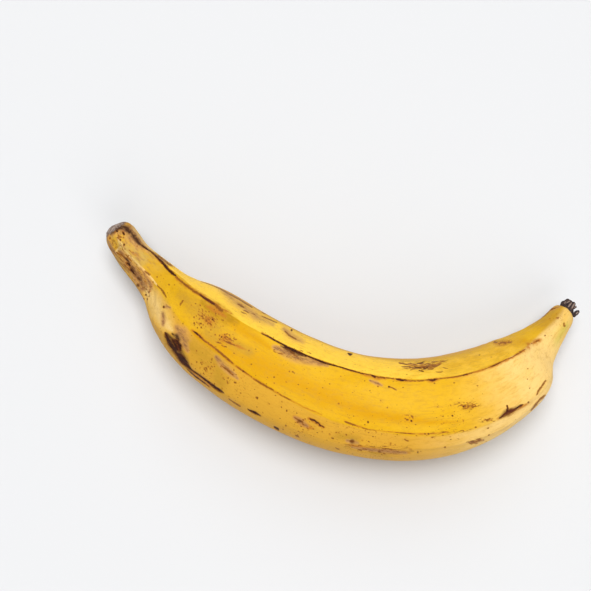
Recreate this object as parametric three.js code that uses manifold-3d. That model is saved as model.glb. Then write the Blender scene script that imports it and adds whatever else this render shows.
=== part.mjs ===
// A ripe plantain lying on its side: a curved fruit with five ridges, a long stalk that ends in a cut,
// and a blunt blossom end that still carries the dried remains of its flower. It is one grown piece.
//
// Millimetres, +Z up, lying on z = 0. +X runs from the stalk to the blossom end, the belly bulges
// towards -Y and both ends reach towards +Y.

import * as THREE from 'three';
import { mergeVertices } from 'three/addons/utils/BufferGeometryUtils.js';
import Module from 'manifold-3d';

const wasm = await Module();
wasm.setup();

const LENGTH = 298; // along the centre line, without the dried flower
const LEAN = 7.5; // degrees that the plane of the bend drops from the belly to the ends
const RING_STEP = 4; // spacing of the rings along the fruit
const PANELS = 5; // faces between neighbouring ridges
const PANEL_STEPS = 10; // mesh columns across one face

// Centre line: [along, x, y, z]. It is lowest over the three spots that touch the ground.
const CENTRE_LINE = [
  [0, -124.5, 47.0, 24.0],
  [20, -110.5, 34.0, 21.4],
  [40, -94.5, 22.0, 20.2],
  [60, -78.5, 10.0, 21.3],
  [80, -61.0, -0.5, 23.2],
  [105, -39.0, -11.0, 25.2],
  [130, -16.0, -19.0, 25.8],
  [155, 9.0, -24.0, 25.5],
  [180, 33.5, -24.0, 26.1],
  [205, 58.0, -19.0, 26.4],
  [230, 80.0, -8.0, 24.4],
  [250, 95.5, 5.0, 21.8],
  [268, 105.0, 20.5, 19.6],
  [284, 114.0, 34.0, 18.4],
  [LENGTH, 120.0, 45.8, 18.0],
];

// Girth: [along, radius out to the ridges, flatness]. Flatness 0 is a round section, 1 a flat-sided one.
const GIRTH = [
  [0, 6.4, 0.35],
  [12, 9.2, 0.47],
  [24, 10.3, 0.57],
  [34, 11.5, 0.62],
  [42, 14.0, 0.65],
  [50, 18.4, 0.65],
  [58, 23.1, 0.61],
  [66, 25.8, 0.56],
  [78, 27.4, 0.48],
  [95, 28.0, 0.42],
  [120, 28.3, 0.37],
  [160, 29.1, 0.36],
  [200, 29.2, 0.39],
  [215, 28.4, 0.42],
  [230, 26.8, 0.48],
  [242, 25.0, 0.52],
  [252, 22.8, 0.52],
  [260, 18.8, 0.49],
  [266, 15.2, 0.44],
  [272, 12.2, 0.38],
  [280, 9.4, 0.33],
  [288, 7.7, 0.31],
  [LENGTH, 6.4, 0.28],
];

// Ridges: [along, then the turn of each of the five in degrees]. 0 points up and turns fall towards
// the belly: crest, upper belly, lower belly, underside, and the ridge inside the bend.
const RIDGES = [
  [0, 42, -42, -110, -170, -235],
  [15, 32, -29, -102, -166, -240],
  [30, 34, -23, -98, -163, -244],
  [45, 25, -22, -82, -160, -246],
  [60, 14, -22, -60, -154, -250],
  [80, 12, -27, -62, -152, -252],
  [110, 15, -28, -68, -153, -253],
  [150, 18, -35, -65, -154, -254],
  [190, 14, -40, -61, -155, -255],
  [230, 11, -47, -65, -162, -260],
  [250, 10, -49, -65, -169, -263],
  [260, 6, -58, -78, -177, -267],
  [270, 2, -77, -105, -188, -271],
  [282, 0, -91, -129, -200, -276],
  [LENGTH, -2, -98, -136, -208, -280],
];

// The faces of the underside are rounder than the ones that look up.
const PANEL_FLATNESS = [1.0, 1.0, 0.6, 0.75, 0.95];

// Ends: [share of the girth, along]. The stalk's cut is slightly dished and its rim is rounded over.
const STALK_CUT = [
  [0, 0.8],
  [0.55, 0.6],
  [0.85, 0],
  [0.96, 0.9],
  [1, 2.6],
];
const BLOSSOM_END = [
  [1, LENGTH - 6],
  [0.97, LENGTH - 3.4],
  [0.88, LENGTH - 1.4],
  [0.7, LENGTH - 0.3],
  [0.4, LENGTH + 0.4],
  [0, LENGTH + 0.6],
];

// The dried flower: a short collar with withered lobes. x is across the tip towards the belly, y runs
// out of the tip and z is up, all from the middle of the blossom end.
const COLLAR = [
  [0, -3],
  [4.6, -3],
  [4.5, 0.8],
  [3.4, 2.2],
  [0, 2.4],
];
const COLLAR_SIDES = 14;
const LOBES = [
  { width: 3.0, thickness: 2.2, path: [[-2.4, -1, 0.2], [-3.3, 1.8, 0.6], [-3.7, 4.0, 0.4]] },
  { width: 4.6, thickness: 3.0, path: [[-1.0, -1, 0.6], [-1.1, 2.6, 1.2], [-0.9, 5.4, 0.8]] },
  { width: 3.2, thickness: 2.6, path: [[1.0, -1, -0.4], [1.1, 2.6, 0], [0.9, 5.7, 0.4]] },
  { width: 2.6, thickness: 2.0, path: [[2.6, -2, 0.2], [4.2, -0.5, 0.4], [5.6, 0.9, 0.5], [6.0, 3.5, 0.3]] },
  { width: 3.2, thickness: 1.6, path: [[-1.2, -1, -2.6], [-1.6, 2.0, -3.2], [-2.6, 4.2, -3.0]] },
  { width: 3.0, thickness: 1.5, path: [[1.8, -1, -2.2], [2.5, 1.8, -2.7], [2.0, 4.0, -3.2]] },
  { width: 3.0, thickness: 1.5, path: [[0.6, -1, 2.4], [0.9, 1.8, 3.0], [0.2, 3.8, 3.4]] },
];
const LOBE_STEPS = 6;
const LOBE_SIDES = 8;

const GROUND_SIZE = 400; // the block that trims the resting spots flat
const PEEL_COLOUR = 0xe9b23c;

// Smooth values of a [station, ...values] list.
function smoothTable(rows) {
  const stations = rows.map((row) => row[0]);
  const values = rows.flatMap((row) => row.slice(1));
  return new THREE.CubicInterpolant(stations, values, rows[0].length - 1);
}

const centreLine = smoothTable(CENTRE_LINE);
const girth = smoothTable(GIRTH);
const ridges = smoothTable(RIDGES);
const bendNormal = new THREE.Vector3(0, Math.sin(THREE.MathUtils.degToRad(LEAN)), 0);
bendNormal.z = Math.sqrt(1 - bendNormal.y ** 2);

function centreAt(along) {
  return new THREE.Vector3(...centreLine.evaluate(THREE.MathUtils.clamp(along, 0, LENGTH)));
}

// The section's own axes at a station: across towards the belly, forward along the fruit, and up.
function sectionFrame(along) {
  const station = THREE.MathUtils.clamp(along, 0.5, LENGTH - 0.5);
  const forward = centreAt(station + 0.5).sub(centreAt(station - 0.5)).normalize();
  const up = bendNormal.clone().addScaledVector(forward, -bendNormal.dot(forward)).normalize();
  const across = new THREE.Vector3().crossVectors(forward, up);
  const centre = centreAt(along).addScaledVector(forward, Math.max(0, along - LENGTH));
  return new THREE.Matrix4().makeBasis(across, forward, up).setPosition(centre);
}

// Distance from the centre line to the peel, on one face between two ridges.
function panelRadius(ridgeRadius, flatness, offMiddle, panelWidth) {
  const flat = Math.cos(offMiddle) / Math.cos(panelWidth / 2);
  return ridgeRadius / (1 - flatness + flatness * flat);
}

// Moves a point of the straight rod (radius 1, axis Y) to its place on the bent, ridged fruit.
function growPoint(point) {
  const along = point.y;
  const share = Math.hypot(point.x, point.z);
  const round = (Math.atan2(point.x, point.z) / (2 * Math.PI) + 1 + 1e-9) % 1;
  const panel = Math.min(PANELS - 1, Math.floor(round * PANELS));
  const station = THREE.MathUtils.clamp(along, 0, LENGTH);
  const turns = [...ridges.evaluate(station)].map(THREE.MathUtils.degToRad);
  turns.push(turns[0] - 2 * Math.PI);
  const [ridgeRadius, flatness] = girth.evaluate(station);
  const width = turns[panel] - turns[panel + 1];
  const turn = turns[panel] - width * (round * PANELS - panel);
  const offMiddle = turn - (turns[panel] + turns[panel + 1]) / 2;
  const radius = share * panelRadius(ridgeRadius, flatness * PANEL_FLATNESS[panel], offMiddle, width);
  const local = new THREE.Vector3(-radius * Math.sin(turn), 0, radius * Math.cos(turn));
  return local.applyMatrix4(sectionFrame(along));
}

// A closed three.js geometry as a solid for joining and cutting.
function solidOf(geometry) {
  geometry.deleteAttribute('normal');
  geometry.deleteAttribute('uv');
  const merged = mergeVertices(geometry);
  const corners = merged.index.array;
  const triangles = [];
  for (let i = 0; i < corners.length; i += 3) {
    const [a, b, c] = corners.slice(i, i + 3);
    if (a !== b && b !== c && c !== a) triangles.push(a, b, c);
  }
  const vertProperties = Float32Array.from(merged.attributes.position.array);
  const triVerts = Uint32Array.from(triangles);
  return new wasm.Manifold(new wasm.Mesh({ numProp: 3, vertProperties, triVerts }));
}

function fruitSolid() {
  const outline = STALK_CUT.concat(
    [...Array(Math.floor((LENGTH - 8) / RING_STEP)).keys()].map((i) => [1, (i + 1.5) * RING_STEP]),
    BLOSSOM_END,
  );
  const points = outline.map(([share, along]) => new THREE.Vector2(share, along));
  const rod = new THREE.LatheGeometry(points, PANELS * PANEL_STEPS);
  const position = rod.attributes.position;
  for (let i = 0; i < position.count; i += 1) {
    const grown = growPoint(new THREE.Vector3().fromBufferAttribute(position, i));
    position.setXYZ(i, grown.x, grown.y, grown.z);
  }
  return solidOf(rod);
}

function lobeGeometry({ width, thickness, path }) {
  const section = new THREE.Shape().absellipse(0, 0, thickness / 2, width / 2, 0, 2 * Math.PI);
  const outline = new THREE.Shape(section.getPoints(LOBE_SIDES / 2).slice(0, -1));
  const extrudePath = new THREE.CatmullRomCurve3(path.map((point) => new THREE.Vector3(...point)));
  return new THREE.ExtrudeGeometry(outline, { steps: LOBE_STEPS, extrudePath });
}

function driedFlowerSolid() {
  const collar = new THREE.LatheGeometry(
    COLLAR.map(([radius, out]) => new THREE.Vector2(radius, out)),
    COLLAR_SIDES,
  );
  const tip = sectionFrame(LENGTH);
  return [collar, ...LOBES.map(lobeGeometry)]
    .map((piece) => solidOf(piece.applyMatrix4(tip)))
    .reduce((whole, piece) => whole.add(piece));
}

function groundSolid() {
  const block = new THREE.BoxGeometry(GROUND_SIZE, GROUND_SIZE, GROUND_SIZE);
  return solidOf(block.translate(0, 0, -GROUND_SIZE / 2));
}

function geometryOf(solid) {
  const { vertProperties, triVerts } = solid.getMesh();
  const geometry = new THREE.BufferGeometry();
  geometry.setAttribute('position', new THREE.BufferAttribute(vertProperties, 3));
  geometry.setIndex(new THREE.BufferAttribute(triVerts, 1));
  geometry.computeVertexNormals();
  return geometry;
}

const peel = new THREE.MeshStandardMaterial({ color: PEEL_COLOUR, roughness: 0.5, metalness: 0 });
const plantain = new THREE.Mesh(
  geometryOf(fruitSolid().add(driedFlowerSolid()).subtract(groundSolid())),
  peel,
);
plantain.name = 'plantain';

const part = new THREE.Group();
part.add(plantain);

export default part;
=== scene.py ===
"""A ripe plantain lying on its side: peel, cut stalk and the dried flower on the blossom end."""

import math

import bmesh
import bpy
import numpy as np
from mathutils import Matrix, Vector, noise


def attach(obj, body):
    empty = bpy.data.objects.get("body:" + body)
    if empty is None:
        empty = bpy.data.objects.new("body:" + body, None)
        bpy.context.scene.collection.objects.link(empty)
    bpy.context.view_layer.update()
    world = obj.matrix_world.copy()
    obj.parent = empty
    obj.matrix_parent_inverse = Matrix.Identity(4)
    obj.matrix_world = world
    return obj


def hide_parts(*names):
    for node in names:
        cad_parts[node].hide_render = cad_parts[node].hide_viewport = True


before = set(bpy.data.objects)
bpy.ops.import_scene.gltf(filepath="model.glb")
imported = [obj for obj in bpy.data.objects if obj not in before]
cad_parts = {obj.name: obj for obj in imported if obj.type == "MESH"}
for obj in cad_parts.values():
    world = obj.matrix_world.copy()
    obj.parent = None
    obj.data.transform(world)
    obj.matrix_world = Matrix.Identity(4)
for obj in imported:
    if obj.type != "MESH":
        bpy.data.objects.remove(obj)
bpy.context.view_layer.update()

# ---------------------------------------------------------------- sizes

MM = 0.001
LENGTH = 298.0  # along the centre line, without the dried flower
LEAN = math.radians(7.5)  # how far the plane of the bend drops from the belly to the ends
PANELS = 5  # faces between neighbouring ridges

# Centre line: along, x, y, z in millimetres.
CENTRE_LINE = [
    (0, -124.5, 47.0, 24.0),
    (20, -110.5, 34.0, 21.4),
    (40, -94.5, 22.0, 20.2),
    (60, -78.5, 10.0, 21.3),
    (80, -61.0, -0.5, 23.2),
    (105, -39.0, -11.0, 25.2),
    (130, -16.0, -19.0, 25.8),
    (155, 9.0, -24.0, 25.5),
    (180, 33.5, -24.0, 26.1),
    (205, 58.0, -19.0, 26.4),
    (230, 80.0, -8.0, 24.4),
    (250, 95.5, 5.0, 21.8),
    (268, 105.0, 20.5, 19.6),
    (284, 114.0, 34.0, 18.4),
    (LENGTH, 120.0, 45.8, 18.0),
]

# Girth: along, radius out to the ridges, flatness of the faces (0 round, 1 flat).
GIRTH = [
    (0, 6.4, 0.35),
    (12, 9.2, 0.47),
    (24, 10.3, 0.57),
    (34, 11.5, 0.62),
    (42, 14.0, 0.65),
    (50, 18.4, 0.65),
    (58, 23.1, 0.61),
    (66, 25.8, 0.56),
    (78, 27.4, 0.48),
    (95, 28.0, 0.42),
    (120, 28.3, 0.37),
    (160, 29.1, 0.36),
    (200, 29.2, 0.39),
    (215, 28.4, 0.42),
    (230, 26.8, 0.48),
    (242, 25.0, 0.52),
    (252, 22.8, 0.52),
    (260, 18.8, 0.49),
    (266, 15.2, 0.44),
    (272, 12.2, 0.38),
    (280, 9.4, 0.33),
    (288, 7.7, 0.31),
    (LENGTH, 6.4, 0.28),
]

# Ridges: along, then the turn of the crest, upper belly, lower belly, underside and inner ridge.
RIDGES = [
    (0, 42, -42, -110, -170, -235),
    (15, 32, -29, -102, -166, -240),
    (30, 34, -23, -98, -163, -244),
    (45, 25, -22, -82, -160, -246),
    (60, 14, -22, -60, -154, -250),
    (80, 12, -27, -62, -152, -252),
    (110, 15, -28, -68, -153, -253),
    (150, 18, -35, -65, -154, -254),
    (190, 14, -40, -61, -155, -255),
    (230, 11, -47, -65, -162, -260),
    (250, 10, -49, -65, -169, -263),
    (260, 6, -58, -78, -177, -267),
    (270, 2, -77, -105, -188, -271),
    (282, 0, -91, -129, -200, -276),
    (LENGTH, -2, -98, -136, -208, -280),
]
PANEL_FLATNESS = (1.0, 1.0, 0.6, 0.75, 0.95)
PANEL_COLUMNS = (62, 36, 34, 26, 60)  # finer where the peel shows most
BODY_ROWS = 420
BODY_STATIONS = (4.9, 291.3)  # first and last ring between the two ends
RIDGE_ROUNDING = (10, 26)  # smoothing passes: the crest, the blunter ridges
CREST_REACH = math.radians(25)  # how far round the crest its sharper rounding goes
MM_PER_DEGREE = 0.48  # one degree of turn, measured on the peel

# Ends: share of the girth, along.
STALK_CUT = [(0, -2.1), (0.2, -2.05), (0.38, -1.9), (0.54, -1.6), (0.67, -1.15), (0.77, -0.6), (0.85, 0),
             (0.91, 0.6), (0.96, 1.4), (0.99, 2.4), (1, 3.6)]
STALK_TILT = (1.1, 0.5, 12.0)  # how far the cut leans back on the inner side, where from, its reach
STALK_ROUNDING = (0.75, 9.0)  # how round the five-sided stalk becomes at the cut, its reach
STALK_FLARE = (0.9, 1.4, 3.5, 8.0)  # height all round, more on the inner side, station, reach
INNER_SWELLINGS = [(1.3, 32.0, 12.0), (1.3, 259.0, 6.0)]  # of the concave side: height, station, reach
BLOSSOM_END = [(1, 292), (0.995, 293.4), (0.97, 294.7), (0.93, 295.9), (0.87, 296.9), (0.78, 297.6),
               (0.66, 298.0), (0.5, 298.2), (0.34, 298.35), (0.17, 298.5), (0, 298.6)]

# Relief of the peel: height, then the size of its features round and along the fruit, in millimetres.
LUMPS = (0.45, 19.0, 30.0)
DENTS = (0.13, 5.5, 9.0)
STALK_WRINKLES = (0.75, 2.4, 26.0)
TIP_WRINKLES = (0.20, 2.0, 16.0)
RIB = 0.28  # how far a ridge's crest stands proud
RIB_WIDTH = 1.3
RIB_SHARES = (1, 0.6, 0.7, 0.7, 0.8)  # of that height, ridge by ridge
BRUISE_DEPTH = 0.22
CRACK_DEPTH = 0.16
CUT_ROUGHNESS = 0.55
TO_STALK = (74, 26)  # stations between which the shoulder turns into the stalk
TO_TIP = (255, 284)  # and the body into the blossom end

# Dried flower, in the frame of the fruit's tip: across towards the belly, out, up, in millimetres.
# Each lobe is a crumpled tongue along a path, with its width and thickness at the broadest.
FLOWER_COLLAR = (4.5, 0.8, -2.4, 1.9)  # radius, share of it at the outer end, from, to
FLOWER_LOBES = [
    (2.6, 1.8, [(-2.4, -1.0, 0.2), (-2.9, 1.2, 0.6), (-3.1, 2.6, 0.8), (-3.1, 3.7, 0.5)]),
    (2.7, 1.6, [(-1.8, -1.0, 1.2), (-2.0, 1.8, 1.9), (-2.2, 3.7, 1.6), (-2.2, 4.8, 0.9)]),
    (3.0, 1.7, [(-0.6, -1.0, 0.8), (-0.5, 2.2, 1.5), (-0.5, 4.5, 1.5), (-0.3, 5.8, 0.8)]),
    (2.5, 1.4, [(0.8, -1.0, 0.2), (1.0, 2.6, 0.6), (1.4, 4.8, 1.0), (1.6, 6.3, 0.7)]),
    (1.4, 1.1, [(1.6, -0.5, -0.2), (2.3, 2.2, 0.2), (2.9, 3.9, 0.6), (3.6, 5.1, 0.6)]),
    (2.5, 2.0, [(2.4, -1.6, 0.2), (3.9, -0.2, 0.5), (5.0, 0.5, 0.6), (5.6, 1.8, 0.5)]),
    (2.3, 1.7, [(4.8, -0.4, 0.4), (5.3, 1.2, 0.6), (5.6, 2.4, 0.5), (6.0, 3.9, 0.2)]),
    (5.0, 1.2, [(-0.2, -1.0, 0.6), (-0.5, 2.4, 1.2), (-0.8, 4.6, 1.1), (-0.8, 6.1, 0.8)]),
    (3.1, 1.3, [(-1.0, -1.0, -2.4), (-1.6, 1.8, -3.1), (-2.6, 4.0, -2.9)]),
    (2.8, 1.3, [(1.6, -1.0, -2.0), (2.5, 1.6, -2.6), (2.1, 3.8, -3.0)]),
    (2.9, 1.3, [(0.6, -1.0, 2.1), (1.0, 1.6, 2.8), (0.3, 3.5, 3.1)]),
    (2.4, 1.2, [(-2.2, -0.6, 2.0), (-3.0, 1.2, 2.6), (-3.4, 2.8, 2.2)]),
]
FLOWER_VOXEL = 0.13
FLOWER_CREASES = [(0.19, 1.0, 4.5, 11.0), (0.13, 0.42, 5, 12.0)]  # height, size, stretch, noise seed

# ---------------------------------------------------------------- camera

PICTURE = 591.0  # pixels on a side
LENS = 85.0
SENSOR = 36.0
CLIP = (0.05, 20.0)
AZIMUTH = math.radians(10.0)
ELEVATION = math.radians(77.0)
DISTANCE = 0.750
AIM = Vector((-0.0235, 0.0295, 0.015))

# How squarely a place has to face the camera for a mark to start and to show in full.
SHARP_SHOWN = (0.02, 0.18)
BROAD_SHOWN = (0.05, 0.28)
TINT_SHOWN = (0.05, 0.4)
HIDDEN = (-0.15, 0.08)  # the other way round: the hidden sides' own marks fade out

# ---------------------------------------------------------------- marks on the peel

SPOT_SHARE = 0.8  # a spot is drawn a little smaller than its half width says
SHOWN_SEED = 11  # of the scatter on the side that the camera sees
HIDDEN_SEED = 7  # and on the other sides

# Strokes of (x, y, half width) points and spots, in pixels of the camera's view, for the side it sees.
DARK_LINES = [
    # crack along the crest
    [(146, 249, 0.5), (150, 251.5, 0.7), (155, 256, 0.9), (160, 261, 1.2), (164, 265, 0.9),
     (168, 269.5, 1.1), (172, 273.5, 1.2), (175.5, 276, 0.7)],
    [(200, 295, 0.8), (204, 298, 1), (209, 301, 1.2), (214, 304.5, 0.9)],
    [(262, 334, 0.5), (268, 336.5, 0.7), (274, 340, 0.8), (279, 342.5, 0.9), (285, 345.5, 0.9),
     (291, 348.5, 1), (296, 350.8, 1), (303, 354, 0.8), (310, 357, 0.7), (317, 359.8, 0.9),
     (324, 362.6, 0.9), (330, 364.4, 0.7), (336, 366, 0.6), (343, 368, 0.5), (350, 370.4, 0.6),
     (357, 372.3, 0.5), (364, 374, 0.4)],
    [(284, 346.4, 0.5), (288, 347.8, 0.8), (293, 350.4, 0.9), (299, 352.8, 0.6)],
    [(372, 375.6, 0.7), (375, 377, 0.9)],
    [(396, 379, 0.5), (399, 379.5, 0.9), (402, 380.3, 1), (406, 380.2, 0.5)],
    [(429, 380, 0.6), (433, 380.3, 1.1), (437, 379, 0.5)],
    [(460, 376.4, 0.3), (464, 375.4, 0.5), (468, 374.2, 0.3)],
    [(493, 366, 0.3), (498, 363.6, 0.5), (501, 362.2, 0.3)],
    [(520.4, 352, 0.6)],
    # bruise down the lower belly ridge
    [(165, 333, 0.6), (166, 336, 1.3), (168, 340.6, 1.6), (170.4, 344.8, 2.1), (173.6, 349, 2.1),
     (176.4, 353, 1.5), (179.4, 357.6, 1.8), (182.6, 361.8, 1.9), (185.8, 365, 1.5), (188.6, 367.4, 1),
     (191, 369.4, 0.8), (194, 371.6, 0.7), (202, 377.4, 0.9), (210, 383.4, 1.1), (216, 388, 1.3),
     (220.8, 391.2, 1.2), (223.4, 392.8, 0.6)],
    [(172, 340, 1), (176.6, 341.6, 1.8), (179.6, 346, 2), (180, 350, 1.3)],
    [(180, 354.6, 1.2), (183.6, 358.8, 1.6), (186.4, 362.6, 1.3)],
    [(172.6, 342, 1), (175.4, 345.6, 1.6), (177.6, 349.6, 1.4)],
    [(187, 368.6, 0.3), (192, 373.4, 0.5), (198, 378.4, 0.6), (204, 382.6, 0.5), (209, 386.4, 0.3)],
    [(248, 409.5, 0.5), (252, 411.2, 1.1), (256, 413.2, 1.1), (261, 416, 0.5)],
    [(274.5, 427, 0.8), (278, 429.3, 1.1)],
    # upper belly ridge
    [(193.4, 331.2, 0.5), (196, 333, 1), (199, 335.6, 0.8), (201.4, 337.8, 0.4)],
    # scratches on the inner face
    [(414, 366.4, 0.4), (418, 367.2, 0.6), (421, 367.6, 0.4)],
    [(423.4, 368, 0.6), (426, 368, 0.6), (428, 366.8, 0.4)],
    [(417, 363, 0.4), (421, 362.4, 0.6), (424, 361, 0.4)],
    [(419, 370.4, 0.4), (423, 371.2, 0.5)],
    [(348, 353.6, 0.6), (350, 354.6, 1.1), (352, 354.3, 0.5)],
    # tear near the blossom end
    [(501, 418, 0.5), (503.4, 415.4, 0.8), (506, 413.4, 1.3), (509, 411.8, 1.7), (512.6, 411, 1.2),
     (516, 408.8, 0.8), (520, 406.2, 0.7), (523, 404.4, 0.4)],
    [(507, 405.6, 0.5), (507.6, 408.4, 0.8), (507.4, 411.4, 1.1), (505.4, 415, 0.7)],
    # lower band
    [(309.6, 418.4, 0.5), (312, 419.8, 1.1), (314.6, 420.2, 0.7), (316.6, 422.4, 1.1), (319.2, 423, 0.5),
     (320, 425.6, 0.7), (322, 425.6, 0.4), (324, 427.2, 0.7)],
    # stalk
    [(141, 245, 0.3), (146, 249.2, 0.6), (150, 251.6, 0.7)],
    [(106.8, 231.4, 0.7), (107.4, 230.4, 0.6)],
    [(109.4, 229, 0.7), (111.8, 226.4, 0.9)],
    [(130.6, 269.4, 0.7), (132, 271.4, 0.9), (134, 274, 0.5)],
    [(122.4, 232.4, 0.5), (124, 235, 0.8)],
    [(116.4, 231, 0.7), (118.4, 231.6, 0.6)],
    [(127, 263.4, 0.6), (129.4, 265.6, 0.7)],
]
DARK_SPOTS = [
    (124.4, 244.6, 1.2), (118.4, 237.4, 0.9), (120.8, 239.8, 0.9), (107, 233, 0.9), (131, 270.4, 1.1),
    (163.4, 307, 1.3), (145.6, 295.2, 1), (147.4, 299, 0.8), (201, 323.6, 0.9), (201, 327.4, 0.9),
    (212.6, 319, 1.2), (210, 323.6, 0.9), (206, 320.4, 0.8), (194, 323, 0.8), (197, 327.6, 0.7),
    (221.4, 337, 0.9), (225, 337.4, 0.9), (227.6, 378, 1), (235, 382.4, 1.1), (257, 398, 1.2),
    (287, 410.6, 1), (274, 377, 0.9), (293, 372, 1), (291.5, 330.4, 1), (368, 422.2, 1.1),
    (332.6, 438, 1.2), (407.4, 420, 1.1), (411.4, 421, 1.1), (424.6, 434, 0.9), (428, 434, 1),
    (452.6, 415.8, 1.1), (475.4, 427.4, 0.9), (463.4, 406.6, 0.9), (465, 409, 0.7), (528.6, 402.4, 1.2),
    (444.4, 447, 0.9), (418, 452, 1.2), (389, 386.6, 1), (384, 378, 0.8), (545, 335.6, 0.9),
    (486.4, 442.2, 0.9), (243, 371.4, 1), (488, 428.4, 0.9), (479.4, 355, 0.7), (125, 249, 0.7),
]
BROWN_LINES = [
    [(157, 256, 0.4), (163, 261, 0.5), (168, 265, 0.8), (174, 268, 0.5)],
    [(176, 277.5, 0.8), (182, 282, 0.8), (188, 287, 1), (194, 291.5, 0.9), (200, 295, 1)],
    [(201, 281.2, 0.5), (207, 283.4, 0.6), (214, 286, 0.6), (222, 289.6, 0.8), (230, 294.6, 0.7),
     (238, 298.8, 0.7), (246, 303.6, 0.6), (252, 307.4, 0.5)],
    [(212, 303, 1.2), (217, 307, 1.6), (222, 311, 1.2)],
    [(145, 271, 0.6), (149.4, 274.6, 1)],
    [(158, 286, 0.5), (161, 289, 0.7), (164, 293, 1), (166.4, 297.4, 0.4)],
    [(200, 336.6, 1), (205, 341, 0.9), (211, 345, 0.8), (219, 351.6, 0.9), (227, 358.4, 0.9),
     (233, 363.6, 0.8)],
    [(236, 366, 0.5), (244, 371.6, 0.6), (252, 377, 0.5)],
    [(254, 379, 0.6), (260, 382.8, 0.9), (268, 387, 0.8), (274, 390.4, 0.5)],
    [(345, 421.6, 0.5), (350, 423.4, 0.8), (356, 425.4, 0.4)],
    [(280, 394.6, 0.4), (286, 397.6, 0.7), (292, 400.8, 0.4)],
    [(362, 427.8, 0.2), (368, 429.4, 0.5), (375, 430.4, 0.2)],
    [(396, 432.4, 0.2), (405, 433, 0.5), (416, 434, 0.3)],
    [(406, 380.8, 0.5), (413, 381.2, 0.6), (421, 381, 0.6), (429, 380, 0.6), (438, 379, 0.6),
     (447, 378, 0.4), (456, 377, 0.4), (466, 374.8, 0.7), (476, 371.6, 0.4), (486, 368.6, 0.4),
     (495, 365, 0.8), (503, 361.4, 0.5), (512, 357.4, 0.3), (519, 353.4, 0.6), (525, 349.6, 0.3)],
    [(364, 374, 0.5), (370, 375, 0.8), (378, 377.4, 0.9), (386, 378, 0.5), (394, 378.6, 0.5)],
    [(229, 399, 0.5), (234, 402.4, 0.7), (240, 406, 0.7)],
    [(226, 342, 0.4), (233, 344.6, 0.6), (239, 346.4, 0.3)],
    [(389, 386.6, 0.8), (392.4, 387.8, 0.5), (396.4, 390, 0.6)],
    [(399, 362.6, 0.5), (407, 364.2, 0.6)],
    [(402, 366.2, 0.5), (410, 366.6, 0.6)],
    [(434, 367, 0.7), (440, 364, 0.5)],
    [(545.4, 380.6, 0.7), (541.4, 386.6, 0.8), (538, 391, 0.8), (536.8, 394.4, 0.7)],
    [(545, 395, 0.6), (541, 398.4, 1), (538, 401.4, 0.7), (535, 405.4, 1), (531, 410.4, 0.6)],
    [(468, 442.4, 0.4), (471, 444, 0.7), (475, 441, 0.5), (482, 440, 0.4)],
    [(485, 419.4, 0.6), (487.4, 421, 0.6), (490, 418.4, 0.5)],
    [(462.6, 419.6, 0.5), (463, 423.4, 0.5)],
    [(180, 304.6, 0.7), (183, 300.6, 0.7)],
    [(534, 342.4, 0.4), (538.6, 340.4, 0.9)],
    [(564, 323.4, 0.8), (564.4, 326, 0.9)],
    [(117, 252, 0.4), (121, 255, 0.6), (125.6, 259, 0.6)],
    [(108, 243, 0.7), (110.6, 248.4, 0.9)],
    [(296, 435.6, 0.7), (299.4, 437.4, 0.5)],
    [(294.4, 417.4, 0.4), (298.4, 419.8, 0.9), (302, 421.4, 0.9), (304, 425.4, 0.4)],
    [(295.4, 422.4, 0.4), (299.4, 421.6, 0.8), (306, 418.6, 0.4)],
    [(350.6, 441, 0.9), (353, 441.4, 1.3)],
    [(549, 310.6, 0.5), (553, 308.6, 0.6), (557.6, 307.2, 0.4)],
    [(541, 318, 0.4), (545, 315, 0.5), (549, 311.4, 0.4)],
    [(285, 331, 0.5), (289, 335, 0.7), (296, 339, 0.6)],
    [(238, 303.8, 0.5), (241, 305.4, 1), (244, 307.4, 0.5)],
    [(262, 316, 0.3), (270, 319.8, 0.5), (277, 323, 0.3)],
    [(222, 366, 0.5), (228, 370.6, 0.8), (233, 375, 0.6)],
]
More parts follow.
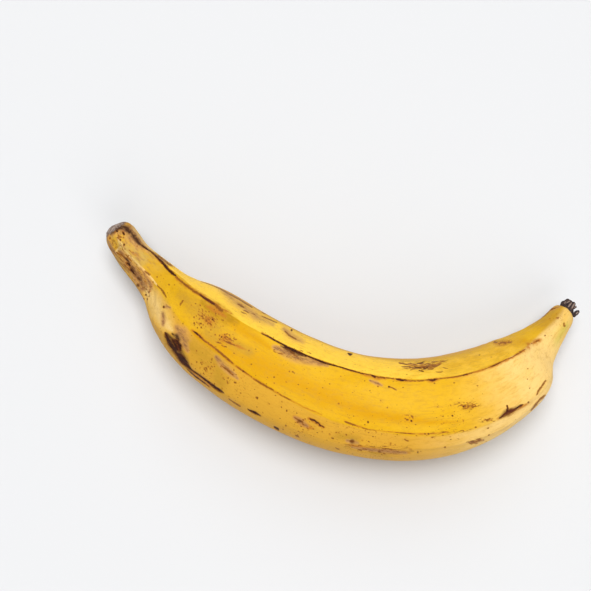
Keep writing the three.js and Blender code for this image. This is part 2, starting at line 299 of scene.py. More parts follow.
BROWN_SPOTS = [
    (111, 237.6, 0.9), (133, 252, 0.6), (137, 246.4, 0.8), (134.4, 246, 0.6), (157, 277, 0.9),
    (169, 284.6, 0.9), (174.4, 284.6, 0.6), (161, 275.4, 0.6), (191.4, 305, 0.8), (202, 316.4, 0.8),
    (205, 313.4, 0.6), (208, 314, 0.6), (215, 321, 0.6), (214.6, 327, 0.5), (199, 319.6, 0.6),
    (208, 323, 0.8), (211.4, 373.6, 0.9), (233.6, 370, 0.8), (240.6, 393, 0.7), (235, 330, 0.7),
    (274, 383, 0.8), (286.4, 382, 0.8), (289.4, 371.6, 0.7), (269, 403.6, 0.9), (281.6, 407, 0.7),
    (282, 401.4, 0.6), (286, 425.4, 1), (263, 412.6, 0.6), (206.4, 362.6, 0.7), (213.6, 364, 0.8),
    (205, 367.4, 0.6), (187.4, 350.4, 0.8), (249, 350.4, 0.8), (315, 426, 0.8), (322.4, 431.4, 0.8),
    (338.6, 432.4, 0.9), (314.4, 434, 0.7), (347, 427.6, 0.8), (343.6, 430, 0.6), (352.6, 432, 0.6),
    (365, 430.4, 0.8), (338.6, 403.6, 1), (342, 395, 0.7), (381, 401, 0.9), (387, 407.6, 0.9),
    (341, 376.6, 0.7), (378, 386, 1.1), (405.4, 415, 0.6), (415.4, 416.6, 0.7), (407, 427.4, 0.6),
    (432, 437.4, 0.9), (408.6, 440.6, 0.8), (447, 431.6, 0.8), (410.4, 448.6, 0.9), (451.6, 399.6, 0.8),
    (437.6, 407, 0.8), (440.4, 415.6, 0.7), (442, 424, 0.6), (463.4, 431, 0.8), (455.6, 404.6, 0.6),
    (464, 402.6, 0.7), (468, 407, 0.6), (469.6, 403, 0.7), (471, 408.6, 0.6), (475.4, 406, 0.6),
    (477.6, 385.8, 0.9), (491.4, 357, 0.6), (528, 368.6, 0.8), (527.6, 379, 0.7), (349, 418, 0.8),
    (550, 318.8, 0.8), (149.4, 294.6, 0.5), (176, 310, 0.5), (208, 371.6, 0.6), (166, 304.6, 0.6),
    (143, 288, 0.8), (146.6, 284, 0.6), (128.6, 255.6, 0.7), (117, 244, 0.6),
    (131.4, 270, 1.5), (134, 274, 1.1), (127, 263, 1.3), (138.6, 279, 1.3), (137.6, 285, 1.1),
    (124.6, 258, 1), (141, 283, 0.8), (145, 281, 0.8), (129.4, 267, 1), (134.6, 280, 0.7),
]
# Stains: rusty, bruised and mauve ones; and pale lines painted as highlights on the ridge crests and in the
# tear.
RUST_STROKES = [
    [(176, 278, 1.6), (186, 286, 2), (198, 293, 2), (210, 301, 2), (222, 309, 2.2), (231, 313.6, 1)],
    [(207, 320, 4), (211, 322, 4)],
    [(223, 338, 3.4), (229, 340, 2.4)],
    [(294, 416.6, 1.6), (301, 421.4, 3), (308, 426.6, 2.2), (314, 428.6, 1.2)],
    [(349, 444, 1.2), (358, 446.6, 1.7), (370, 449, 1.7), (386, 451, 2), (402, 452.4, 1.7), (410, 452, 1)],
    [(409, 364.6, 1.2), (420, 366, 2.2), (431, 366.4, 2), (440, 363, 1.2)],
    [(494, 344.4, 1.4), (502, 344.6, 2.2), (511, 343, 1.4)],
    [(537, 341, 1.4), (540, 340, 1)],
    [(205, 341, 1), (219, 352, 1.2), (233, 364, 1.2), (249, 375.6, 0.9), (268, 387.4, 1.1),
     (286, 397.6, 0.7), (304, 407, 0.8), (322, 414.6, 0.6)],
    [(346, 421.6, 0.8), (358, 426, 0.7), (368, 429.4, 0.5), (384, 431.2, 0.4), (400, 432.6, 0.6),
     (424, 434, 0.9), (448, 432, 0.6)],
    [(528, 344, 2.4), (535, 342, 3), (541, 340, 1.6)],
    [(498, 419, 1.2), (505, 415.4, 1.9), (513, 412, 2.2), (521, 407, 1.8), (527, 404, 1)],
    [(124, 247, 1.2), (132, 253, 1.8), (141, 259, 1.6)],
    [(135, 277, 1.4), (136, 282, 1.2)],
    [(262, 333, 1.2), (272, 339, 1)],
    [(520, 353, 1.6), (528, 348, 2.2)],
    [(440, 378.6, 0.8), (456, 377.4, 0.9), (466, 375.2, 1.3), (480, 370.8, 1), (497, 364.4, 1.7),
     (512, 357.8, 1.2), (522, 352, 1.6)],
    [(207, 305, 1.6), (216, 311, 2.4), (225, 316.6, 1.6)],
    [(194, 374, 1.6), (202, 380, 1.8), (210, 386, 1.4)],
    [(226, 341.4, 1.8), (234, 344.6, 1.6), (246, 349.6, 0.8)],
    [(343, 368.6, 0.9), (357, 372.6, 1), (364, 374.6, 1), (371, 376.4, 1.6), (378, 378.6, 1.4),
     (386, 378.4, 1)],
    [(393, 379.2, 1.2), (402, 380.6, 1.7), (411, 381, 1.1)],
    [(192, 330.4, 1.4), (199, 335.6, 1.7), (203, 339, 1.2)],
    [(309, 418.6, 1.5), (317, 422.4, 1.9), (324, 427.4, 1.4)],
    [(504, 415, 1.8), (509, 411.6, 2.6), (517, 408.4, 1.6)],
    [(428, 380.6, 1.6), (433, 380.8, 2), (438, 379.4, 1.4)],
]
BRUISE_STROKES = [
    [(111.6, 233.4, 1), (114.6, 230.6, 1.8), (118.6, 228, 2.2), (123, 227.4, 2.2), (128, 231.6, 1.7),
     (133.2, 236.8, 1.6), (138.8, 243.2, 1.5), (144, 247.2, 1.1), (149.5, 250.8, 0.9), (153.4, 254, 0.8)],
    [(125.6, 259, 1.2), (128, 261, 0.8)],
    [(128.8, 263.4, 1.1)],
    [(131, 268.4, 1.4), (132.6, 271.4, 1.7)],
    [(134.6, 275.2, 1)],
    [(138.2, 279, 1.6), (140, 280.4, 1)],
    [(137.6, 285.6, 1.4)],
    [(299, 420.6, 0.9), (301, 421.6, 0.9)],
    [(352, 441.4, 2)],
    [(172, 334, 1), (176, 336.6, 2.2), (178, 340, 2.6)],
    [(165.8, 334, 1.6), (168.4, 338.6, 3.2), (172.6, 343, 5.4), (176.4, 348, 5), (179.4, 353, 3.9),
     (182.8, 358.8, 4), (186.6, 364.4, 2.5), (190, 368.2, 1.1)],
    [(212, 386, 0.8), (217, 389, 1.3), (222, 392.4, 0.9)],
    [(281, 346, 0.7), (287, 348.6, 1.4), (294, 352, 1.8), (301, 354.4, 1.2), (306, 356.4, 0.6)],
    [(500, 418, 1.2), (507, 413, 3), (514, 410, 2), (521, 405.4, 1.2)],
]
LILAC_STROKES = [
    [(221, 290, 2.4), (228, 295.4, 4), (234, 300, 4.8), (241, 305, 5.4), (248, 310, 5.6), (256, 315.6, 5.2),
     (264, 320, 4.2), (273, 324, 2.4)],
    [(245, 308, 1.2), (255, 313, 1.4), (266, 319, 1)],
    [(284, 329, 2.6), (289, 334, 4), (295, 338, 3.8), (303, 342, 2.4)],
    [(216, 357, 1.8), (221, 363, 2.8), (227.4, 368.8, 3.2), (233, 374.4, 2.4), (238, 379, 1)],
    [(163, 313, 2), (163.4, 319, 2.6), (163, 325, 1.6)],
    [(166, 306.6, 1.8), (170, 307.6, 1)],
    [(274, 347, 2), (283, 351.4, 3.8), (293, 355.6, 4.8), (304, 359.4, 4.2), (316, 362.4, 3),
     (328, 365.6, 1.4)],
    [(370, 380.4, 1.2), (376, 382.8, 1.9), (382, 385.4, 1)],
    [(108, 231, 3), (107.4, 236, 3.2), (108, 242, 3), (110.6, 248, 2.6)],
    [(140, 268, 1.2), (146, 276, 2), (151, 284, 2.4), (150, 290, 1.6)],
    [(347, 440.4, 1.4), (352, 441.4, 2.2), (358, 443, 1.4)],
    [(352, 447, 0.9), (366, 449, 1.2), (386, 451, 1.5), (406, 452.4, 1.2)],
    [(470, 441.8, 0.7), (477, 441.6, 1), (484, 440, 0.7)],
    [(548, 311, 1.2), (556, 307.4, 1.4), (562, 307, 0.8)],
    [(295, 417.6, 1.6), (301, 421.4, 2.6), (307, 426, 1.6)],
    [(111.6, 232.4, 3.4), (116, 229.4, 5.4), (121, 228, 6.4), (126, 231, 6.4), (132.6, 238, 5.4),
     (139, 244.6, 4.6), (147, 250.4, 2.2)],
    [(120, 252, 2.6), (126, 260, 3.9), (131, 267, 4.4), (136, 275, 4.5), (141, 282, 4.7), (142, 289, 3)],
    [(124, 256, 1.4), (130, 263, 2.2), (136, 270, 2.4), (142, 279, 2.6), (147, 286, 1.6)],
    [(110, 240, 2), (112, 248, 2), (116, 254, 1.8)],
    [(177, 328, 3), (181, 333, 5.4), (183, 339, 5.4), (185, 345, 3.2), (188, 351, 1.6)],
]
# Painted highlights: pale lines where the stalk's ridges and the tear catch the light.
PAINTED_HIGHLIGHT_STROKES = [
    [(118, 237, 0.6), (122, 244, 0.9), (125.5, 250.5, 1), (130, 256, 1.1), (134, 260.4, 1.1),
     (140, 266.4, 1.1), (146, 272.6, 1), (152, 279, 0.9), (157, 285, 0.7)],
    [(130, 229, 0.9), (136, 235, 1.2), (142, 241.4, 1.4), (149, 248, 1.2), (154, 252.6, 0.8)],
    [(154, 254.4, 0.6), (160, 258.6, 0.9), (167, 264, 0.8), (175, 268, 0.8)],
    [(116, 252, 0.9), (121, 246, 0.9), (119, 240, 0.8)],
    [(507.6, 413.6, 0.7)],
    [(134, 279, 1), (137, 285, 0.8)],
]
# Broad tints: paler, deeper, duller, browner and greener patches; paler is partly painted sheen, deeper
# partly painted shade.
PALE_STROKES = [
    [(147, 289, 4), (152, 298, 7), (159, 312, 8), (166, 324, 6), (172, 330, 2)],
    [(526, 382, 4), (537, 368, 5), (547, 350, 6)],
]
# Deeper yellow, partly painted shade: the left and lower front and the far end of the inner face, which
# face the light less.
DEEP_STROKES = [
    [(192, 350, 3), (202, 358, 5), (212, 368, 5), (224, 378, 3)],
    [(196, 336, 5), (215, 345, 9), (235, 353, 11), (262, 367, 12), (292, 382, 11), (325, 397, 10),
     (360, 410, 8), (395, 418, 6), (430, 422, 3), (460, 422, 1)],
    [(214, 310, 4), (232, 323, 6), (250, 335, 5), (270, 348, 2)],
    [(440, 368, 3), (458, 364, 6), (476, 358, 9), (498, 351, 9), (512, 347, 7), (524, 341, 3)],
]
DULL_STROKES = [
    [(118, 248, 2.4), (125, 257, 4), (132, 267, 5), (138, 277, 5.4), (144, 287, 4)],
    [(204, 304, 4), (215, 311, 7), (226, 317, 6), (236, 322, 3)],
    [(548.4, 331, 1.4), (553.8, 324.6, 2.8), (558.2, 318, 3.2), (561.2, 312.6, 2)],
]
OCHRE_STROKES = [
    [(202, 301, 4), (212, 309, 6), (226, 317, 5)],
    [(182, 296, 5), (190, 303, 8), (204, 317, 11), (214, 327, 10)],
    [(207, 333, 6), (216, 339, 5)],
    [(190, 344, 6), (200, 352, 9), (218, 364, 8), (221, 384, 6)],
    [(230, 342, 5), (250, 352, 4)],
    # The next two darken the lower edge: partly painted shade where the underside turns from the light,
    # partly stain.
    [(338, 435, 4), (356, 439, 4)],
    [(374, 452, 4), (386, 454, 4)],
    [(545, 326, 4), (552, 319, 6), (559, 311, 5)],
]
GREEN_STROKES = [
    [(567, 325, 1.6), (563.4, 330, 2.6), (560.6, 336, 1.8)],
]
# Patches of fine scratches.
SCRATCHED = [
    [(401, 362, 1.4), (412, 364, 3), (424, 365, 5), (436, 363, 4), (446, 360, 1.6)],
    [(456, 404, 2), (466, 406, 4), (478, 405, 2.4)],
    [(345, 446, 2), (370, 449, 2.6), (395, 450, 3.4), (412, 449, 2)],
    [(205, 319, 2), (212, 321, 4)],
    [(220, 338, 2.4), (228, 339, 2.4)],
    [(276, 350, 2.4), (300, 357, 3)],
    [(468, 442, 1.6), (482, 440, 2)],
    [(115, 245, 4), (128, 262, 5), (141, 283, 5)],
    [(480, 420, 2), (490, 420, 2)],
    [(497, 343, 2), (510, 343, 2.4)],
    [(430, 434, 1.6), (470, 430, 1.6)],
]
# Worn places: centre, spread and count of short scribbles, with their length and rise, and of dots.
SCRIBBLED = [
    (423, 365.5, 11, 3, 34, 8, -0.05), (467, 405, 6, 1.8, 9, 5, 0.1), (380, 449, 17, 1.8, 18, 5, 0.05),
    (477, 441, 6, 1.4, 7, 5, -0.2), (503, 344, 4, 1.4, 8, 4, -0.15), (487, 420, 3, 1.6, 6, 4, -0.2),
    (252, 312, 10, 1.8, 5, 7, 0.5), (125, 262, 5, 6, 14, 6, 1.1), (225, 343, 7, 2.2, 8, 6, 0.3),
    (290, 352, 8, 2, 10, 6, 0.3),
]
DOTTED = [
    (207, 318, 7.5, 4.6, 58), (224, 337, 4, 2, 14), (409, 419, 4, 2.6, 10), (208, 367, 6, 5, 22),
    (119, 238, 3, 5, 14), (146, 290, 4, 5, 12), (466, 406, 5, 2.6, 12), (310, 430, 14, 3, 14),
    (440, 436, 20, 2, 14), (380, 440, 30, 6, 14), (230, 385, 20, 8, 12), (552, 320, 4, 4, 4),
]
# Dry rim of the cut.
RIM_STROKES = [
    [(106.4, 235, 0.8), (107.6, 232, 1.4), (110, 230, 1.6), (112.6, 228, 1.4), (117, 224.8, 1.2),
     (121, 222.6, 1)],
]
# Freckled places: centre and half width.
FRECKLED = [
    (203, 321, 9), (225, 337, 6), (467, 406, 8), (409, 419, 7), (208, 368, 9), (376, 448, 22),
    (120, 238, 8), (146, 288, 7), (560, 318, 6), (300, 430, 14), (240, 385, 14), (450, 422, 16),
    (350, 428, 14),
]
# Paler parts of the dried flower: partly paler dry tissue, partly painted highlight where the lobes catch
# the light.
FADED_AND_GLINT_STROKES = [
    [(568.4, 306.8, 0.5), (570, 304.6, 0.8), (571.4, 303, 0.5)],
    [(572, 308, 0.5), (573.4, 305.4, 0.8), (574.4, 303.6, 0.5)],
    [(567, 302.6, 0.4), (569.4, 301.2, 0.5)],
    [(564.6, 303.2, 0.4), (566, 301.4, 0.3)],
    [(576.4, 313.6, 0.6), (577.8, 312.2, 0.6)],
    [(574.8, 307.6, 0.4), (575.8, 306.6, 0.4)],
]


# ---------------------------------------------------------------- camera and view

def new_object(name, data):
    thing = bpy.data.objects.new(name, data)
    bpy.context.scene.collection.objects.link(thing)
    return thing


def camera_axes():
    """Right, up and backward directions of the camera."""
    back = Vector((math.sin(AZIMUTH) * math.cos(ELEVATION),
                   -math.cos(AZIMUTH) * math.cos(ELEVATION), math.sin(ELEVATION)))
    right = Vector((math.cos(AZIMUTH), math.sin(AZIMUTH), 0.0))
    return right, back.cross(right), back


def make_camera():
    back = camera_axes()[2]
    data = bpy.data.cameras.new("camera")
    data.lens = LENS
    data.sensor_width = SENSOR
    data.clip_start, data.clip_end = CLIP
    camera = new_object("camera", data)
    camera.location = AIM + back * DISTANCE
    camera.rotation_euler = back.to_track_quat("Z", "Y").to_euler()
    bpy.context.scene.camera = camera


def seen_at(points):
    """Picture position of each point (N x 3, metres), x to the right and y down."""
    right, up, back = (np.array(axis) for axis in camera_axes())
    ray = points - (np.array(AIM) + back * DISTANCE)
    depth = -(ray @ back)
    focal = LENS / SENSOR * PICTURE
    return np.stack([PICTURE / 2 + focal * (ray @ right) / depth,
                     PICTURE / 2 - focal * (ray @ up) / depth], axis=1)


# ---------------------------------------------------------------- shape of the fruit

def smooth_table(rows, stations):
    """Values of a (station, ...values) table at each station, on a smooth curve through the rows."""
    table = np.array(rows, float)
    at, values = table[:, 0], table[:, 1:]
    slopes = np.diff(values, axis=0) / np.diff(at)[:, None]
    tangents = np.vstack([slopes[:1], (slopes[1:] + slopes[:-1]) / 2, slopes[-1:]])
    stations = np.clip(stations, at[0], at[-1])
    i = np.clip(np.searchsorted(at, stations, side="right") - 1, 0, len(at) - 2)
    step = (at[i + 1] - at[i])[:, None]
    t = (stations - at[i])[:, None] / step
    return (values[i] * (1 + 2 * t) * (1 - t) ** 2 + values[i + 1] * t * t * (3 - 2 * t)
            + tangents[i] * step * t * (1 - t) ** 2 + tangents[i + 1] * step * t * t * (t - 1))


def unit(vectors):
    return vectors / np.linalg.norm(vectors, axis=-1, keepdims=True)


def bell(values, centre, width):
    return np.exp(-((values - centre) / width) ** 2)


def ramp(values, low, high):
    """Eases from 0 to 1 as the values go from low to high, which may be the smaller number."""
    t = np.clip((values - low) / (high - low), 0, 1)
    return t * t * (3 - 2 * t)


def wrapped(turns):
    """The same turns, from half a turn back to half a turn on."""
    return (turns + math.pi) % (2 * math.pi) - math.pi


def noise_at(points, scale, seed=0.0):
    """Smooth noise from -1 to 1 at each point; scale is the size of its features, per axis."""
    offset = Vector((seed, 1.7 * seed, -2.3 * seed))
    scaled = points / np.array(scale)
    return np.array([noise.noise(Vector(p) + offset) for p in scaled])


def section_frames(along):
    """Centre and the across, forward and up axes of the section at each station."""
    inside = np.clip(along, 0.5, LENGTH - 0.5)
    forward = unit(smooth_table(CENTRE_LINE, inside + 0.5) - smooth_table(CENTRE_LINE, inside - 0.5))
    normal = np.array([0, math.sin(LEAN), math.cos(LEAN)])
    up = unit(normal - (forward @ normal)[:, None] * forward)
    across = np.cross(forward, up)
    beyond = along - np.clip(along, 0, LENGTH)
    centre = smooth_table(CENTRE_LINE, along) + forward * beyond[:, None]
    return centre, across, forward, up


def fruit_point(along, turn, radius):
    """Places points given by station, turn (radians) and distance from the centre line, all in mm."""
    centre, across, forward, up = section_frames(along)
    out = up * np.cos(turn)[:, None] - across * np.sin(turn)[:, None]
    return centre + out * radius[:, None]


def ring(ridges, ridge_radius, flatness):
    """Turn of every column of one ring, and its distance from the centre line to the peel."""
    edges = np.append(ridges, ridges[0] - 2 * math.pi)
    turns, radii = [], []
    for i, n in enumerate(PANEL_COLUMNS):
        width = edges[i] - edges[i + 1]
        flat = flatness * PANEL_FLATNESS[i]
        off_middle = width * (np.arange(n) / n - 0.5)
        turns.append(edges[i] + (edges[i + 1] - edges[i]) * np.arange(n) / n)
        radii.append(ridge_radius / (1 - flat + flat * np.cos(off_middle) / math.cos(width / 2)))
    return np.concatenate(turns), np.concatenate(radii)


def soften(radii, passes):
    """Rounds the ridges over by averaging each column with its neighbours."""
    for _ in range(passes):
        radii = (radii + (np.roll(radii, 1, axis=1) + np.roll(radii, -1, axis=1)) / 2) / 2
    return radii


# ---------------------------------------------------------------- laying marks

def stroke_field(places, strokes):
    """1 on a stroke's line, 0.5 at its half width and 0 at twice that, for each place (N x 2)."""
    field = np.zeros(len(places))
    for stroke in strokes:
        ends = stroke if len(stroke) > 1 else stroke * 2
        for (x0, y0, w0), (x1, y1, w1) in zip(ends, ends[1:]):
            reach = 2 * max(w0, w1)
            near = ((places[:, 0] > min(x0, x1) - reach) & (places[:, 0] < max(x0, x1) + reach)
                    & (places[:, 1] > min(y0, y1) - reach) & (places[:, 1] < max(y0, y1) + reach))
            start, step = np.array([x0, y0]), np.array([x1 - x0, y1 - y0])
            offset = places[near] - start
            t = np.clip(offset @ step / max(step @ step, 1e-9), 0, 1)
            gap = np.linalg.norm(offset - t[:, None] * step, axis=1)
            field[near] = np.maximum(field[near], 1 - gap / (2 * (w0 + (w1 - w0) * t)))
    return field


def spots(points):
    """Each spot as a stroke of one point."""
    return [[(x, y, SPOT_SHARE * half)] for x, y, half in points]


def sprinkled():
    """Short scribbles and small dots in the worn places that show: seeded scatter."""
    draw = np.random.default_rng(SHOWN_SEED)
    scribbles, dots = [], []
    for x, y, wide, high, count, length, rise in SCRIBBLED:
        for _ in range(count):
            a, b = x + draw.normal(0, wide), y + draw.normal(0, high)
            run, tilt = draw.uniform(0.4, 1) * length, rise + draw.normal(0, 0.12)
            half = draw.uniform(0.3, 0.6)
            scribbles.append([(a - run / 2, b - tilt * run / 2, half * 0.6),
                              (a, b + draw.normal(0, 0.4), half),
                              (a + run / 2, b + tilt * run / 2, half * 0.6)])
    for x, y, wide, high, count in DOTTED:
        for _ in range(count):
            dots.append([(x + draw.normal(0, wide), y + draw.normal(0, high), draw.uniform(0.45, 0.8))])
    return scribbles + dots


def hidden_marks():
    """Strokes in (along, round) millimetres for the sides the camera doesn't see: seeded scatter."""
    draw = np.random.default_rng(HIDDEN_SEED)

    def scatter(count, length, width):
        strokes = []
        for _ in range(count):
            along, around = draw.uniform(12, 285), draw.uniform(-170, 65)
            run, drift, half = draw.uniform(0, length), draw.uniform(-0.15, 0.15), draw.uniform(*width)
            strokes.append([(along, around, half * 0.7), (along + run / 2, around + drift * run, half),
                            (along + run, around + 2 * drift * run, half * 0.5)])
        return strokes

    dark = scatter(24, 9, (0.25, 0.6)) + scatter(110, 0.3, (0.3, 0.6))
    brown = scatter(60, 12, (0.25, 0.5)) + scatter(240, 0.3, (0.3, 0.55))
    rust = scatter(26, 14, (0.8, 2.2))
    bruise = scatter(9, 10, (0.8, 1.8))
    lilac = scatter(20, 16, (1.0, 2.6))
    return dark, brown, rust, bruise, lilac


# ---------------------------------------------------------------- peel

# Attributes of the peel that the finish reads, and the marks or tones that share each.
PEEL_FIELDS = {
    "marks": ("dark", "brown", "rust"),
    "bruises": ("bruise", "lilac", "painted_highlight"),
    "tones": ("tan", "ochre", "pale"),
    "lights": ("painted_light", "green", "weathered"),
    "wear": ("freckled", "scratched", "cut"),
    "depths": ("deep", "dull", "rimmed"),
}


class Peel:
    """Grid of stations and turns over the fruit, with its relief and marks, as flat arrays."""

    def __init__(self):
        body = [(1.0, station) for station in np.linspace(*BODY_STATIONS, BODY_ROWS)]
        outline = np.array(STALK_CUT + body + BLOSSOM_END, float)
        share, along = outline[:, 0], outline[:, 1]
        ridges = np.radians(smooth_table(RIDGES, along))
        rings = [ring(row, *size) for row, size in zip(ridges, smooth_table(GIRTH, along))]
        turns, radii = (np.array(part) for part in zip(*rings))
        self.rows, self.columns = radii.shape
        crest = bell(wrapped(turns - ridges[:, :1]), 0, CREST_REACH)
        crisp, blunt = (soften(radii, passes) for passes in RIDGE_ROUNDING)
        radii = blunt + (crisp - blunt) * crest
        mean = radii.mean(axis=1, keepdims=True)
        roundness, reach = STALK_ROUNDING
        radii += (mean - radii) * roundness * ramp(along, reach, 0)[:, None]
        self.along = np.repeat(along, self.columns)
        self.share = np.repeat(share, self.columns)
        self.turn = turns.ravel()
        self.inward = np.maximum(np.sin(self.turn), 0)
        lean, start, reach = STALK_TILT
        self.along += lean * self.share * (np.sin(self.turn) + start) * ramp(self.along, reach, 0)
        self.panel = np.tile(np.repeat(np.arange(PANELS), PANEL_COLUMNS), self.rows)
        self.radius = (radii * share[:, None]).ravel()
        self.set_straight()
        self.ridge_gaps = self.distance_to_ridges(ridges)
        self.read_marks()
        self.raise_relief()

    def set_straight(self):
        """Place of every point on the unbent fruit, which the finish is drawn on."""
        self.straight = np.stack([-self.radius * np.sin(self.turn), self.along,
                                  self.radius * np.cos(self.turn)], axis=1)

    def distance_to_ridges(self, ridges):
        """Distance round the peel to each ridge, in millimetres."""
        turn = self.turn.reshape(self.rows, self.columns)
        gaps = [np.abs(wrapped(turn - ridge[:, None])).ravel() for ridge in ridges.T]
        return np.array([gap * self.radius for gap in gaps])

    def points(self):
        """Places in metres, pressed flat where they would sink below the floor."""
        places = fruit_point(self.along, self.turn, self.radius)
        places[:, 2] = np.maximum(places[:, 2], 0)
        return places * MM

    def facing(self):
        """How squarely each point faces the camera: 1 straight on, 0 edge on, below 0 hidden."""
        grid = self.points().reshape(self.rows, self.columns, 3)
        lengthwise = np.gradient(grid, axis=0)
        round_it = np.roll(grid, -1, axis=1) - np.roll(grid, 1, axis=1)
        normal = np.cross(round_it, lengthwise).reshape(-1, 3)
        normal /= np.maximum(np.linalg.norm(normal, axis=1, keepdims=True), 1e-12)
        ray = unit(np.array(AIM + camera_axes()[2] * DISTANCE) - grid.reshape(-1, 3))
        return (normal * ray).sum(axis=1)

    def read_marks(self):
        """Strength of every kind of mark at each point."""
        facing = self.facing()
        sharp = ramp(facing, *SHARP_SHOWN)
        broad = ramp(facing, *BROAD_SHOWN)
        hidden = 1 - ramp(facing, *HIDDEN)
        place = seen_at(self.points())
        unrolled = np.stack([self.along, np.degrees(self.turn) * MM_PER_DEGREE], axis=1)
        dark, brown, rust, bruise, lilac = hidden_marks()

        def both(seen_strokes, shown, unseen_strokes):
            return np.maximum(stroke_field(place, seen_strokes) * shown,
                              stroke_field(unrolled, unseen_strokes) * hidden)

        self.dark = both(DARK_LINES + spots(DARK_SPOTS), sharp, dark)
        self.brown = both(BROWN_LINES + spots(BROWN_SPOTS) + sprinkled(), sharp, brown)
        self.brown = np.maximum(self.brown, self.hidden_ridge_lines() * hidden)
        self.rust = both(RUST_STROKES, broad, rust)
        self.bruise = both(BRUISE_STROKES, broad, bruise)
        self.lilac = both(LILAC_STROKES, broad, lilac) * self.inner_share()
        # pale painted highlights on the ridges and in the tear
        self.painted_highlight = stroke_field(place, PAINTED_HIGHLIGHT_STROKES) * sharp
        self.scratched = both(SCRATCHED, broad, lilac[::2])
        sparse = 0.12 * ramp(self.along, 230, 130) * ramp(self.along, 40, 70)
        freckled = stroke_field(place, spots(FRECKLED)) * sharp
        self.freckled = np.maximum(freckled, np.maximum(sparse, 0.35 * hidden))

    def inner_share(self):
        """Stains show faintly on the inner band, and not at all by the crest."""
        faint = 0.7 * ramp(self.ridge_gaps[0], 1.0, 4.0)
        stalk = ramp(self.along, 44, 34)
        return np.where(self.panel == PANELS - 1, faint + (1 - faint) * stalk, 1.0)

    def hidden_ridge_lines(self):
        """Broken brown lines along the ridges that lie underneath."""
        gap = self.ridge_gaps[2:].min(axis=0)
        broken = noise_at(np.stack([self.along, self.turn * 0, self.turn * 0], axis=1), (13, 1, 1), 4.0)
        width = 0.5 + 0.7 * ramp(broken, -0.1, 0.5)
        return np.clip(1 - gap / (2 * width), 0, 1) * ramp(broken, -0.25, 0.05)

    def raise_relief(self):
        """Lumps, dents, wrinkles, raised ridges and sunken marks."""
        def swell(size, seed):
            height, round_it, lengthwise = size
            return height * noise_at(self.straight, (round_it, lengthwise, round_it), seed)

        stalk = ramp(self.along, *TO_STALK)
        tip = ramp(self.along, *TO_TIP)
        rib_noise = noise_at(self.straight, (8, 11, 8), 6.0)
        rib = (bell(self.ridge_gaps, 0, RIB_WIDTH) * np.array(RIB_SHARES)[:, None]).sum(axis=0)
        relief = swell(LUMPS, 1.0) * (1 - 0.6 * stalk) * (1 - 0.6 * tip) + swell(DENTS, 2.0)
        relief += swell(STALK_WRINKLES, 3.0) * stalk + swell(TIP_WRINKLES, 5.0) * tip
        relief += RIB * rib * (0.75 + 0.8 * rib_noise)
        height, inner, station, reach = STALK_FLARE
        relief += (height + inner * self.inward) * bell(self.along, station, reach)
        for height, station, reach in INNER_SWELLINGS:
            relief += height * self.inward * bell(self.along, station, reach)
        relief -= BRUISE_DEPTH * ramp(self.bruise, 0.2, 0.8) + CRACK_DEPTH * ramp(self.dark, 0.2, 0.8)
        self.radius = self.radius + relief * ramp(self.share, 0.1, 0.9)
        ragged = noise_at(self.straight, (1.7, 1.7, 1.7), 7.0)
        cut = ramp(self.along, 2.0, 0.0) * ramp(self.share, 0.02, 0.2)
        self.along = self.along + CUT_ROUGHNESS * ragged * cut

    def tones(self):
        """Where the peel leans towards each of its other colours, from 0 to 1; stations in mm."""
        along = self.along
        crest_gap = self.ridge_gaps[0]
        place = seen_at(self.points())
        shown = ramp(self.facing(), *TINT_SHOWN)

        def laid(strokes):
            return stroke_field(place, strokes) * shown

        inner = np.where(self.panel == PANELS - 1, 1.0, 0.0)
        inner = inner * ramp(crest_gap, 0, 0.3 + 3.2 * ramp(along, 248, 280))
        below = np.where(np.isin(self.panel, (1, 2, 3)), ramp(self.ridge_gaps[1], 0, 2.5), 0)
        pale_patch = laid(PALE_STROKES)
        tan = np.maximum(below * (1 - ramp(along, 185, 235)), inner * ramp(crest_gap, 16, 28))
        stalk = 0.6 * ramp(along, 56, 30) * (1 - 0.6 * inner)
        tip_end = inner * ramp(along, 270, 284)
        # paler towards the blossom end: partly painted sheen where the peel faces the light
        pale = (1 - inner) * (1 - 0.35 * ramp(along, 274, 290))
        pale = pale * ramp(along, 195 - 20 * below, 266 - 22 * below)
        # Painted light: the inner face, turned towards the lamp, is lighter yellow near the crest.
        painted_light = inner * ramp(along, 24, 46) * (1 - 0.53 * ramp(along, 172, 215)) * ramp(along, 276, 252)
        green_tip = bell(along, 284, 8) * bell(np.degrees(self.turn), -48, 26)
        weathered_stalk = ramp(along, 47, 18) * (1 - 0.8 * inner)
        hidden_deep = 0.5 * (1 - shown) * np.where(self.panel == 0, 1.0, 0.0)
        rim = 0.5 * ramp(along, 2.6, 1.0) * ramp(self.share, 0.74, 0.9)
        return {
            "tan": tan * (1 - ramp(pale_patch, 0.2, 0.8)),
            "ochre": np.maximum(np.maximum(stalk, tip_end), laid(OCHRE_STROKES)),
            "pale": np.maximum(pale, pale_patch),
            "painted_light": painted_light * ramp(crest_gap, 26, 14),
            "green": np.maximum(green_tip, laid(GREEN_STROKES)),
            "weathered": np.maximum(weathered_stalk, 0.35 * ramp(along, 268, 290)),
            "deep": np.maximum(laid(DEEP_STROKES), hidden_deep),
            "dull": laid(DULL_STROKES),
            "rimmed": np.maximum(laid(RIM_STROKES), rim),
            "cut": ramp(along, 2.2, 0.4),
        }


def object_from(name, bm):
    mesh = bpy.data.meshes.new(name)
    bm.to_mesh(mesh)
    bm.free()
    mesh.shade_smooth()
    return new_object(name, mesh)


def add_attribute(mesh, name, values):
    """One number or one vector for every vertex, for the finish to read."""
    kind, field = ("FLOAT", "value") if values.ndim == 1 else ("FLOAT_VECTOR", "vector")
    attribute = mesh.attributes.new(name, kind, "POINT")
    attribute.data.foreach_set(field, values.astype(np.float32).ravel())


